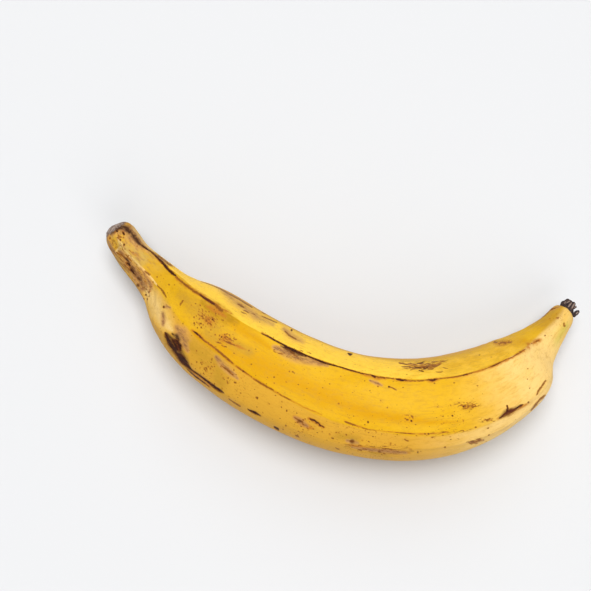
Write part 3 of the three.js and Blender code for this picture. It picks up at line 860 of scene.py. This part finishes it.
def make_peel():
    peel = Peel()
    bm = bmesh.new()
    bmesh.ops.create_grid(bm, x_segments=peel.columns, y_segments=peel.rows - 1, size=0.5)
    column = np.array([round((v.co.x + 0.5) * peel.columns) for v in bm.verts]) % peel.columns
    row = np.array([round((v.co.y + 0.5) * (peel.rows - 1)) for v in bm.verts])
    stations = row * peel.columns + column
    number = bm.verts.layers.int.new("station")
    for vertex, place, station in zip(bm.verts, peel.points()[stations].tolist(), stations.tolist()):
        vertex.co = place
        vertex[number] = station
    bmesh.ops.remove_doubles(bm, verts=bm.verts, dist=1e-6)
    bmesh.ops.recalc_face_normals(bm, faces=bm.faces)
    thing = object_from("peel", bm)
    dress_peel(thing.data, peel)
    return thing


def dress_peel(mesh, peel):
    """Hands the finish what it reads: the unbent place, and three marks or tones to an attribute."""
    stations = np.empty(len(mesh.vertices), np.int32)
    mesh.attributes["station"].data.foreach_get("value", stations)
    mesh.attributes.remove(mesh.attributes["station"])
    add_attribute(mesh, "straight", peel.straight[stations])
    fields = {**vars(peel), **peel.tones()}
    for name, parts in PEEL_FIELDS.items():
        add_attribute(mesh, name, np.stack([fields[part] for part in parts], axis=1)[stations])


# ---------------------------------------------------------------- finishes

class Finish:
    """A node material with short calls for the nodes that the finishes use."""

    def __init__(self, name):
        self.material = bpy.data.materials.new(name)
        self.material.use_nodes = True
        self.tree = self.material.node_tree
        self.shader = self.tree.nodes["Principled BSDF"]

    def feed(self, node, inputs):
        """Gives a node's inputs their numbers, colours, vectors or the outputs of other nodes."""
        for name, source in inputs.items():
            socket = node.inputs[name]
            if isinstance(source, (int, float)):
                socket.default_value = source
            elif isinstance(source, tuple):
                socket.default_value = (*source, 1)[:len(socket.default_value)]
            else:
                self.tree.links.new(source, socket)
        return node.outputs

    def add(self, kind, inputs):
        return self.feed(self.tree.nodes.new(kind), inputs)

    def attribute(self, name, output="Vector"):
        node = self.tree.nodes.new("ShaderNodeAttribute")
        node.attribute_name = name
        return node.outputs[output]

    def split(self, vector):
        return self.add("ShaderNodeSeparateXYZ", {0: vector})

    def stretched(self, vector, sizes):
        """The vector with features of the given sizes, round and along, brought to one unit."""
        round_it, lengthwise = sizes
        scale = (1 / round_it, 1 / lengthwise, 1 / round_it)
        return self.add("ShaderNodeMapping", {"Vector": vector, "Scale": scale})[0]

    def noise(self, vector, sizes, detail=3.0, roughness=0.5):
        place = self.stretched(vector, sizes)
        return self.add("ShaderNodeTexNoise", {"Vector": place, "Scale": 1.0, "Detail": detail,
                                               "Roughness": roughness})["Fac"]

    def cells(self, vector, sizes, output="Distance"):
        place = self.stretched(vector, sizes)
        return self.add("ShaderNodeTexVoronoi", {"Vector": place, "Scale": 1.0})[output]

    def sum(self, operation, a, b=0.0, c=0.0):
        node = self.tree.nodes.new("ShaderNodeMath")
        node.operation = operation
        return self.feed(node, {0: a, 1: b, 2: c})[0]

    def step(self, value, low, high, top=1.0, bottom=0.0):
        """Eases from bottom to top as the value goes from low to high."""
        node = self.tree.nodes.new("ShaderNodeMapRange")
        node.interpolation_type = "SMOOTHSTEP"
        return self.feed(node, {"Value": value, "From Min": low, "From Max": high,
                                "To Min": bottom, "To Max": top})[0]

    def mix(self, share, a, b):
        node = self.tree.nodes.new("ShaderNodeMix")
        node.data_type = "RGBA"
        return self.feed(node, {"Factor": share, 6: a, 7: b})[2]

    def bump(self, height, distance, under=None):
        inputs = {"Height": height, "Distance": distance, "Strength": 1.0}
        if under is not None:
            inputs["Normal"] = under
        return self.add("ShaderNodeBump", inputs)[0]

    def shade(self, colour, roughness, normal, specular):
        self.feed(self.shader, {"Base Color": colour, "Roughness": roughness, "Normal": normal,
                                "Specular IOR Level": specular})
        return self.material


# Colours of the peel, in linear light.
YELLOW = (0.67, 0.36, 0.003)
# partly painted shade
DEEP_YELLOW = (0.61, 0.295, 0.0)
LIGHT_YELLOW = (0.71, 0.405, 0.016)
# painted light on the inner face, which faces the lamp
PAINTED_LIGHT_YELLOW = (0.98, 0.61, 0.055)
TAN = (0.655, 0.34, 0.036)
OCHRE = (0.50, 0.27, 0.022)
DULL = (0.40, 0.20, 0.003)
# partly painted sheen
PALE = (0.85, 0.58, 0.21)
GREEN = (0.48, 0.43, 0.05)
# painted highlight on the ridge crests
PAINTED_HIGHLIGHT = (0.80, 0.55, 0.20)
SCUFF = (0.45, 0.225, 0.025)
RUST = (0.47, 0.165, 0.014)
WEATHERED = (0.47, 0.331, 0.100)
SMUDGE = (0.57, 0.285, 0.088)
LILAC = (0.31, 0.142, 0.056)
BRUISE = (0.07, 0.034, 0.017)
BROWN = (0.19, 0.062, 0.009)
DARK = (0.034, 0.009, 0.005)
MAROON = (0.115, 0.026, 0.012)
CUT_GREY = (0.46, 0.37, 0.32)
CUT_BROWN = (0.105, 0.06, 0.04)

# Colours of the dried flower.
# painted shade in the creases of the folds, over the flower's own dark brown
FLOWER_DARK = (0.024, 0.014, 0.014)
FLOWER_BROWN = (0.10, 0.058, 0.045)
# partly paler dry tissue, partly painted highlight
FLOWER_FADED_AND_GLINT = (0.30, 0.21, 0.165)
# partly painted highlight, partly the grey of the dry tissue
FLOWER_ASH = (0.22, 0.19, 0.18)


def speckles(finish, place, sizes, freckled, more, few):
    """Round specks of mixed sizes: a few everywhere, and many where the peel is freckled."""
    gap = finish.cells(place, sizes)
    draws = finish.split(finish.cells(place, sizes, "Color"))
    chosen = finish.sum("LESS_THAN", draws[0], finish.sum("MULTIPLY_ADD", freckled, more, few))
    grown = finish.sum("MULTIPLY_ADD", draws[1], -0.14, gap)
    return finish.sum("MULTIPLY", finish.step(grown, 0.16, 0.02, 0.85), chosen)


def peel_finish():
    finish = Finish("peel")
    straight = finish.attribute("straight")
    field = {}
    for name, parts in PEEL_FIELDS.items():
        field.update(zip(parts, finish.split(finish.attribute(name))))
    dark, brown, rust = field["dark"], field["brown"], field["rust"]
    bruise, lilac, cut = field["bruise"], field["lilac"], field["cut"]

    def grain(sizes, low, high, detail=3.0, roughness=0.6):
        return finish.step(finish.noise(straight, sizes, detail, roughness), low, high)

    def times(a, b):
        return finish.sum("MULTIPLY", a, b)

    def blotted(mark, low, high, top, raggedness, rough):
        """How much of a mark shows: its field roughened by a grain, and nothing where it is 0."""
        share = finish.sum("MULTIPLY_ADD", rough, 2 * raggedness, 1 - raggedness)
        return finish.step(times(mark, share), low, high, top)

    def painted(colour, coats):
        """The colour under coats of (mark, low, high, top, raggedness, grain, tint)."""
        for *mark, tint in coats:
            colour = finish.mix(blotted(*mark), colour, tint)
        return colour

    patches = finish.noise(straight, (13, 42), 2.0)
    clouds = grain((5.0, 11.0), 0.3, 0.7)
    mottle = grain((1.6, 3.0), 0.3, 0.7, 4.0)
    ragged = grain((0.6, 1.5), 0.3, 0.7)
    streaks = grain((1.0, 8.0), 0.3, 0.7, 4.0, 0.62)
    combed = grain((0.6, 2.4), 0.38, 0.64, 4.0, 0.65)
    scratches = grain((0.38, 3.6), 0.53, 0.62, 2.5)
    fibres = finish.noise(straight, (0.5, 14), 2.0)

    colour = finish.mix(finish.step(patches, 0.36, 0.62, 0.7), YELLOW, LIGHT_YELLOW)
    colour = finish.mix(finish.step(clouds, 0.35, 1.0, 0.4), colour, LIGHT_YELLOW)
    colour = painted(colour, [
        # partly painted shade where the peel faces the light less
        (field["deep"], 0.0, 1.1, 0.95, 0.25, clouds, DEEP_YELLOW),
        # painted light on the inner face near the crest
        (field["painted_light"], 0.1, 0.9, 0.95, 0.25, clouds, PAINTED_LIGHT_YELLOW),
        (field["tan"], 0.1, 0.9, 0.85, 0.3, clouds, TAN),
        (field["ochre"], 0.0, 1.1, 0.9, 0.35, mottle, OCHRE),
        (field["dull"], 0.1, 1.1, 0.9, 0.3, mottle, DULL),
        # partly painted sheen towards the blossom end
        (field["pale"], 0.0, 1.1, 0.9, 0.13, clouds, PALE),
        (field["green"], 0.0, 1.1, 0.6, 0.3, clouds, GREEN),
    ])
    scuffs = times(finish.step(streaks, 0.46, 0.95, 0.28), finish.step(clouds, 0.85, 0.2))
    colour = finish.mix(scuffs, colour, SCUFF)
    colour = finish.mix(finish.step(fibres, 0.5, 0.75, 0.10), colour, OCHRE)
    colour = finish.mix(finish.step(mottle, 0.45, 0.0, 0.17), colour, SCUFF)
    colour = painted(colour, [
        # painted highlight along the ridge crests
        (field["painted_highlight"], 0.2, 0.7, 0.85, 0.4, streaks, PAINTED_HIGHLIGHT),
        (rust, 0.05, 1.1, 0.85, 0.5, mottle, RUST),
        (field["weathered"], 0.2, 1.5, 0.65, 0.6, clouds, WEATHERED),
        (field["weathered"], 0.45, 1.2, 0.5, 0.9, times(streaks, mottle), LILAC),
        (lilac, 0.0, 0.9, 0.75, 0.35, clouds, SMUDGE),
        (lilac, 0.3, 1.35, 0.85, 0.4, mottle, LILAC),
        (lilac, 0.45, 1.4, 0.4, 0.5, combed, BRUISE),
        (times(field["scratched"], scratches), 0.1, 0.6, 0.85, 0.3, mottle, BROWN),
    ])
    freckled = field["freckled"]
    flecks = times(grain((0.8, 1.3), 0.56, 0.72), finish.sum("MULTIPLY_ADD", freckled, 0.55, 0.22))
    colour = finish.mix(flecks, colour, RUST)
    colour = finish.mix(speckles(finish, straight, (1.5, 1.9), freckled, 0.5, 0.05), colour, BROWN)
    colour = finish.mix(speckles(finish, straight, (0.85, 1.1), freckled, 0.75, 0.03), colour, BROWN)

    warm = finish.sum("MAXIMUM", blotted(dark, 0.0, 0.6, 0.6, 0.5, mottle),
                      blotted(brown, 0.0, 0.6, 0.5, 0.5, mottle))
    colour = finish.mix(warm, colour, RUST)
    bruised = blotted(bruise, 0.05, 0.95, 0.94, 0.3, mottle)
    core = blotted(bruise, 0.4, 1.0, 0.85, 0.5, mottle)
    mauve = finish.mix(finish.step(mottle, 0.5, 1.0, 0.25), BRUISE, LILAC)
    colour = finish.mix(bruised, colour, finish.mix(core, mauve, DARK))
    darkened = blotted(dark, 0.42, 0.72, 0.97, 0.30, ragged)
    reddish = finish.step(finish.sum("MULTIPLY_ADD", rust, 0.8, mottle), 0.45, 1.5, 0.9)
    colour = painted(colour, [
        (brown, 0.25, 0.72, 0.85, 0.45, ragged, BROWN),
        (dark, 0.15, 0.6, 0.75, 0.4, mottle, BROWN),
    ])
    colour = finish.mix(darkened, colour, finish.mix(reddish, DARK, MAROON))

    grit = grain((0.9, 0.9), 0.4, 0.66, 5.0, 0.65)
    stained = finish.step(finish.noise(straight, (4.0, 4.0), 2.0), 0.35, 0.62, 0.45, 0.08)
    pores = finish.step(finish.cells(straight, (1.1, 1.1)), 0.12, 0.26)
    fibrous = times(pores, finish.sum("MULTIPLY_ADD", grit, 0.4, stained))
    pith = finish.mix(fibrous, CUT_BROWN, CUT_GREY)
    colour = painted(colour, [(cut, 0.25, 0.7, 0.97, 0.5, ragged, pith)])
    stain = times(blotted(bruise, 0.15, 0.9, 0.85, 0.5, mottle), cut)
    colour = finish.mix(stain, colour, BRUISE)
    dry = finish.mix(finish.step(grit, 0.0, 1.0, 0.85, 0.3), CUT_BROWN, CUT_GREY)
    colour = painted(colour, [(field["rimmed"], 0.2, 0.8, 0.9, 0.4, ragged, dry)])

    marked = finish.sum("MAXIMUM", finish.sum("MAXIMUM", darkened, bruised), cut)
    satin = finish.step(mottle, 0.0, 1.0, 0.54, 0.44)
    roughness = finish.sum("MULTIPLY_ADD", marked, 0.2, satin)
    fibre = finish.bump(fibres, 0.00006)
    pits = finish.bump(finish.noise(straight, (0.7, 1.3), 4.0, 0.6), 0.00012, fibre)
    sunk = finish.bump(finish.sum("SUBTRACT", 1.0, marked), 0.00018, pits)
    return finish.shade(colour, roughness, sunk, 0.07)


# ---------------------------------------------------------------- dried flower

def tip_frame():
    centre, across, forward, up = section_frames(np.array([LENGTH]))
    return centre[0], np.stack([across[0], forward[0], up[0]])


def add_lobe(bm, width, thickness, path):
    """A round-edged tongue that follows its path."""
    lobe = bmesh.ops.create_uvsphere(bm, u_segments=28, v_segments=20, radius=1.0)["verts"]
    bend = [(i / (len(path) - 1), *point) for i, point in enumerate(path)]
    height = np.array([v.co.z for v in lobe])
    share = (height + 1) / 2
    middle = smooth_table(bend, share)
    ahead, behind = np.minimum(share + 0.02, 1), np.maximum(share - 0.02, 0)
    forward = unit(smooth_table(bend, ahead) - smooth_table(bend, behind))
    side = unit(np.cross(forward, (0, 0, 1)))
    top = np.cross(side, forward)
    fullness = 1 / np.sqrt(np.sqrt(np.maximum(1 - height ** 2, 0.02)))
    for vertex, centre, s, t, full in zip(lobe, middle, side, top, fullness):
        sideways = s * vertex.co.x * full * width / 2
        upwards = t * vertex.co.y * full * thickness / 2
        vertex.co = Vector(centre + sideways + upwards)


def crumple(points, normals):
    """Folds and wrinkles of the dried flower, along the normals, in millimetres."""
    raised = 0
    for height, size, stretch, seed in FLOWER_CREASES:
        creases = noise_at(points, (size, size * stretch, size), seed)
        raised = raised + height * (np.abs(creases) * 2 - 0.5)
    return points + normals * raised[:, None]


def fused(bm):
    """One closed mesh out of the overlapping pieces."""
    rough = object_from("rough_flower", bm)
    fuse = rough.modifiers.new("fuse", "REMESH")
    fuse.mode = "VOXEL"
    fuse.voxel_size = FLOWER_VOXEL
    evaluated = rough.evaluated_get(bpy.context.evaluated_depsgraph_get())
    mesh = bpy.data.meshes.new_from_object(evaluated)
    bpy.data.objects.remove(rough)
    return mesh


def make_dried_flower():
    bm = bmesh.new()
    for lobe in FLOWER_LOBES:
        add_lobe(bm, *lobe)
    radius, narrowing, low, high = FLOWER_COLLAR
    collar = bmesh.ops.create_cone(bm, cap_ends=True, segments=40, radius1=radius,
                                   radius2=radius * narrowing, depth=high - low)["verts"]
    for vertex in collar:
        x, y, z = vertex.co
        vertex.co = (x, z + (low + high) / 2, -y)
    mesh = fused(bm)
    points = np.empty(len(mesh.vertices) * 3)
    normals = np.empty(len(mesh.vertices) * 3)
    mesh.vertices.foreach_get("co", points)
    mesh.vertices.foreach_get("normal", normals)
    local = crumple(points.reshape(-1, 3), normals.reshape(-1, 3))
    centre, axes = tip_frame()
    placed = (centre + local @ axes) * MM
    mesh.vertices.foreach_set("co", placed.ravel())
    mesh.update()
    mesh.shade_smooth()
    mesh.name = "dried_flower"
    add_attribute(mesh, "local", local)
    add_attribute(mesh, "faded_and_glint", stroke_field(seen_at(placed), FADED_AND_GLINT_STROKES))
    return new_object("dried_flower", mesh)


def flower_finish():
    finish = Finish("dried_flower")
    local = finish.attribute("local")
    folds = finish.noise(local, (0.6, 3.4), 4.0, 0.6)
    fine = finish.noise(local, (0.26, 1.8), 3.0, 0.6)
    # Darkest in the hollows of the fold bump: painted shade in the creases, over the flower's own dark
    # brown.
    colour = finish.mix(finish.step(folds, 0.46, 0.66), FLOWER_DARK, FLOWER_BROWN)
    # Lighter grey on the raised streaks of the fine bump: partly painted highlight, partly the grey of the
    # dry tissue.
    colour = finish.mix(finish.step(fine, 0.58, 0.78, 0.5), colour, FLOWER_ASH)
    # paler streaks on the raised folds and traced patches: partly painted highlight
    faded_and_glint = finish.sum("MULTIPLY_ADD", fine, 1.1, finish.attribute("faded_and_glint", "Fac"))
    colour = finish.mix(finish.step(faded_and_glint, 0.85, 1.3, 0.9), colour, FLOWER_FADED_AND_GLINT)
    roughness = finish.step(folds, 0.3, 0.7, 0.85, 0.65)
    return finish.shade(colour, roughness, finish.bump(fine, 0.00015, finish.bump(folds, 0.0004)), 0.3)


# ---------------------------------------------------------------- stage

FLOOR_REACH = 8.0
FLOOR_COLOUR = (0.62, 0.625, 0.635)
FLOOR_ROUGHNESS = 0.7
LAMPS = [  # name, place, spread, strength
    ("key", (0.0, 0.12, 1.4), 38, 2.55),
    ("front", (0.5, -0.95, 0.8), 45, 1.0),
    ("back", (-0.1, 0.8, 0.9), 45, 0.6),
]
WORLD_STRENGTH = 0.285


def make_floor():
    bm = bmesh.new()
    bmesh.ops.create_grid(bm, x_segments=4, y_segments=4, size=FLOOR_REACH)
    floor = object_from("floor", bm)
    finish = Finish("floor")
    finish.feed(finish.shader, {"Base Color": FLOOR_COLOUR, "Roughness": FLOOR_ROUGHNESS})
    floor.data.materials.append(finish.material)


def make_light(name, place, spread, strength):
    """A broad distant lamp, so the floor is lit evenly: spread is its width in degrees."""
    data = bpy.data.lights.new(name, "SUN")
    data.angle = math.radians(spread)
    data.energy = strength
    light = new_object(name, data)
    light.location = place
    light.rotation_euler = Vector(place).to_track_quat("Z", "Y").to_euler()


def make_world():
    world = bpy.data.worlds.new("studio")
    bpy.context.scene.world = world
    world.use_nodes = True
    background = world.node_tree.nodes["Background"]
    background.inputs["Color"].default_value = (1, 1, 1, 1)
    background.inputs["Strength"].default_value = WORLD_STRENGTH


def place_piece(piece, material):
    piece.data.materials.append(material)
    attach(piece, "root")
    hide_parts("plantain")


bpy.context.scene.view_settings.view_transform = "Standard"
make_camera()
place_piece(make_peel(), peel_finish())
place_piece(make_dried_flower(), flower_finish())
make_floor()
for lamp in LAMPS:
    make_light(*lamp)
make_world()
